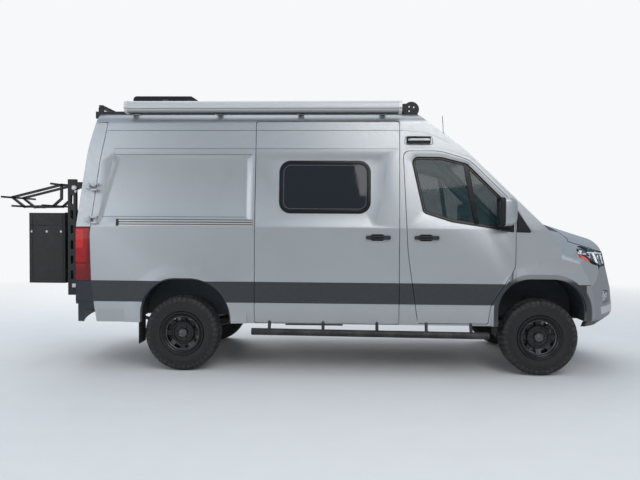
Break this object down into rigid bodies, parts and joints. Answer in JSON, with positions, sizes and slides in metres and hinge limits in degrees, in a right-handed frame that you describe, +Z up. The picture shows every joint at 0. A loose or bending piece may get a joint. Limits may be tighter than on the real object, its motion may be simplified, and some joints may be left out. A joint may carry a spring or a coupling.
{
  "type": "camper van",
  "caption": "High-roof panel van fitted out as a camper, with opening doors and bonnet, steered front wheels, roof awning, roof unit and a rear door carrier.",
  "frame": {"origin": "on the ground under the middle of the whole van with its rear carrier", "axes": "+X forward to the nose, +Y to the van's left side, +Z up"},
  "size_m": [6.668, 2.4836, 3.04],
  "materials": {
    "paint": "satin",
    "trim": "matte",
    "grey_plastic": "matte",
    "glass": "gloss",
    "lamp_clear": "gloss",
    "lamp_red": "gloss",
    "rubber": "matte",
    "wheel_paint": "satin",
    "frame_steel": "satin",
    "cast": "rough",
    "exhaust_steel": "brushed",
    "case": "satin",
    "black_metal": "satin",
    "seat_cloth": "woven",
    "dash": "matte",
    "flap_rubber": "matte"
  },
  "bodies": {
    "body": {"underframe": "frame_steel", "floor_pan": "frame_steel", "front_wall": "frame_steel", "wheel_housings": "frame_steel", "roof_panel": "paint", "side_panels": "paint", "front_wings": "paint", "sliding_door": "paint", "fixed_glass": "glass", "front_bumper": "grey_plastic", "grille": "trim", "headlamps": "lamp_clear", "rear_bumper": "grey_plastic", "tail_lamps": "lamp_red", "dashboard": "dash", "steering_wheel": "dash", "cab_seats": "seat_cloth", "engine_block": "cast", "axles": "cast", "driveline": "cast", "exhaust": "exhaust_steel", "fuel_tank": "trim", "roof_rack": "black_metal", "awning": "case", "roof_unit": "trim", "side_steps": "black_metal", "mud_flaps": "flap_rubber", "cowl": "trim", "side_lamps": "trim"},
    "knuckle_left": {"knuckle_left": "cast"},
    "knuckle_right": {"knuckle_right": "cast"},
    "cab_door_left": {"cab_door_left": "paint", "door_glass_left": "glass", "mirror_left": "trim"},
    "cab_door_right": {"cab_door_right": "paint", "door_glass_right": "glass", "mirror_right": "trim"},
    "rear_door_left": {"rear_door_left": "paint", "rear_glass_left": "glass"},
    "rear_door_right": {"rear_door_right": "paint", "rear_glass_right": "glass", "carrier_frame": "black_metal", "storage_box": "black_metal", "bike_rack": "black_metal"},
    "bonnet": {"bonnet": "paint"},
    "wheel_front_left": {"tyre_front_left": "rubber", "rim_front_left": "wheel_paint"},
    "wheel_front_right": {"tyre_front_right": "rubber", "rim_front_right": "wheel_paint"},
    "wheel_rear_left": {"tyre_rear_left": "rubber", "rim_rear_left": "wheel_paint"},
    "wheel_rear_right": {"tyre_rear_right": "rubber", "rim_rear_right": "wheel_paint"}
  },
  "joints": [
    {"name": "steer_left", "type": "hinge", "parent": "body", "child": "knuckle_left", "pos_m": [2.3448, 0.8, 0.388], "axis": [0, 0, 1], "range_deg": [-32, 32]},
    {"name": "steer_right", "type": "hinge", "parent": "body", "child": "knuckle_right", "pos_m": [2.3448, -0.8, 0.388], "axis": [0, 0, 1], "range_deg": [-32, 32]},
    {"name": "spin_front_left", "type": "hinge", "parent": "knuckle_left", "child": "wheel_front_left", "pos_m": [2.3448, 0.866, 0.388], "axis": [0, 1, 0], "continuous": true},
    {"name": "spin_front_right", "type": "hinge", "parent": "knuckle_right", "child": "wheel_front_right", "pos_m": [2.3448, -0.866, 0.388], "axis": [0, 1, 0], "continuous": true},
    {"name": "spin_rear_left", "type": "hinge", "parent": "body", "child": "wheel_rear_left", "pos_m": [-1.3202, 0.866, 0.388], "axis": [0, 1, 0], "continuous": true},
    {"name": "spin_rear_right", "type": "hinge", "parent": "body", "child": "wheel_rear_right", "pos_m": [-1.3202, -0.866, 0.388], "axis": [0, 1, 0], "continuous": true},
    {"name": "cab_door_hinge_left", "type": "hinge", "parent": "body", "child": "cab_door_left", "pos_m": [2.0488, 0.989, 1.3], "axis": [0, 0, -1], "range_deg": [0, 68]},
    {"name": "cab_door_hinge_right", "type": "hinge", "parent": "body", "child": "cab_door_right", "pos_m": [2.0488, -0.989, 1.3], "axis": [0, 0, 1], "range_deg": [0, 68]},
    {"name": "rear_door_hinge_left", "type": "hinge", "parent": "body", "child": "rear_door_left", "pos_m": [-2.2662, 1.027, 1.6], "axis": [0, 0, -1], "range_deg": [0, 180]},
    {"name": "rear_door_hinge_right", "type": "hinge", "parent": "body", "child": "rear_door_right", "pos_m": [-2.2662, -1.027, 1.6], "axis": [0, 0, 1], "range_deg": [0, 180]},
    {"name": "bonnet_hinge", "type": "hinge", "parent": "body", "child": "bonnet", "pos_m": [2.4948, 0, 1.51], "axis": [0, -1, 0], "range_deg": [0, 50]}
  ],
  "couplings": [
    {"joint": "steer_right", "follows": "steer_left", "ratio": 1}
  ]
}
